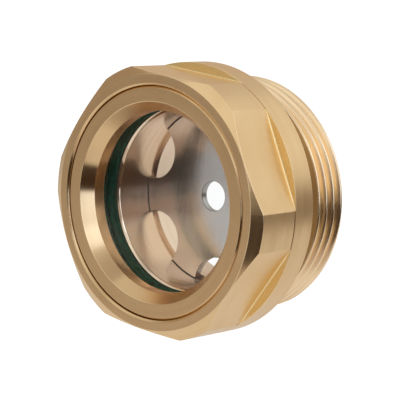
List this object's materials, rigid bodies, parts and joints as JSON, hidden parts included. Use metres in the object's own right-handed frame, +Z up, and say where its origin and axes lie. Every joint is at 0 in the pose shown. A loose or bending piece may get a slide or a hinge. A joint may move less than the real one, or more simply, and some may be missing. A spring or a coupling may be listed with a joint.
{
  "type": "oil level sight glass",
  "caption": "Round window in a threaded brass hexagon body, with a notched reflector behind the glass, for reading the oil level in a tank.",
  "frame": {"origin": "centre of the seating face, the collar's rear face, on the thread's axis", "axes": "+Y along the axis out of the thread's end, into the tank; -Y out of the window; +Z up, square to two of the wrench flats; +X to the right seen from the front"},
  "size_m": [0.054, 0.0303, 0.054],
  "materials": {
    "brass": "turned, satin",
    "glass": "clear, polished",
    "seal": "matt elastomer",
    "reflector": "bright rolled sheet"
  },
  "bodies": {
    "root": {"body": "brass", "retaining_ring": "brass", "sight_glass": "glass", "glass_seal": "seal", "reflector": "reflector"}
  },
  "joints": []
}
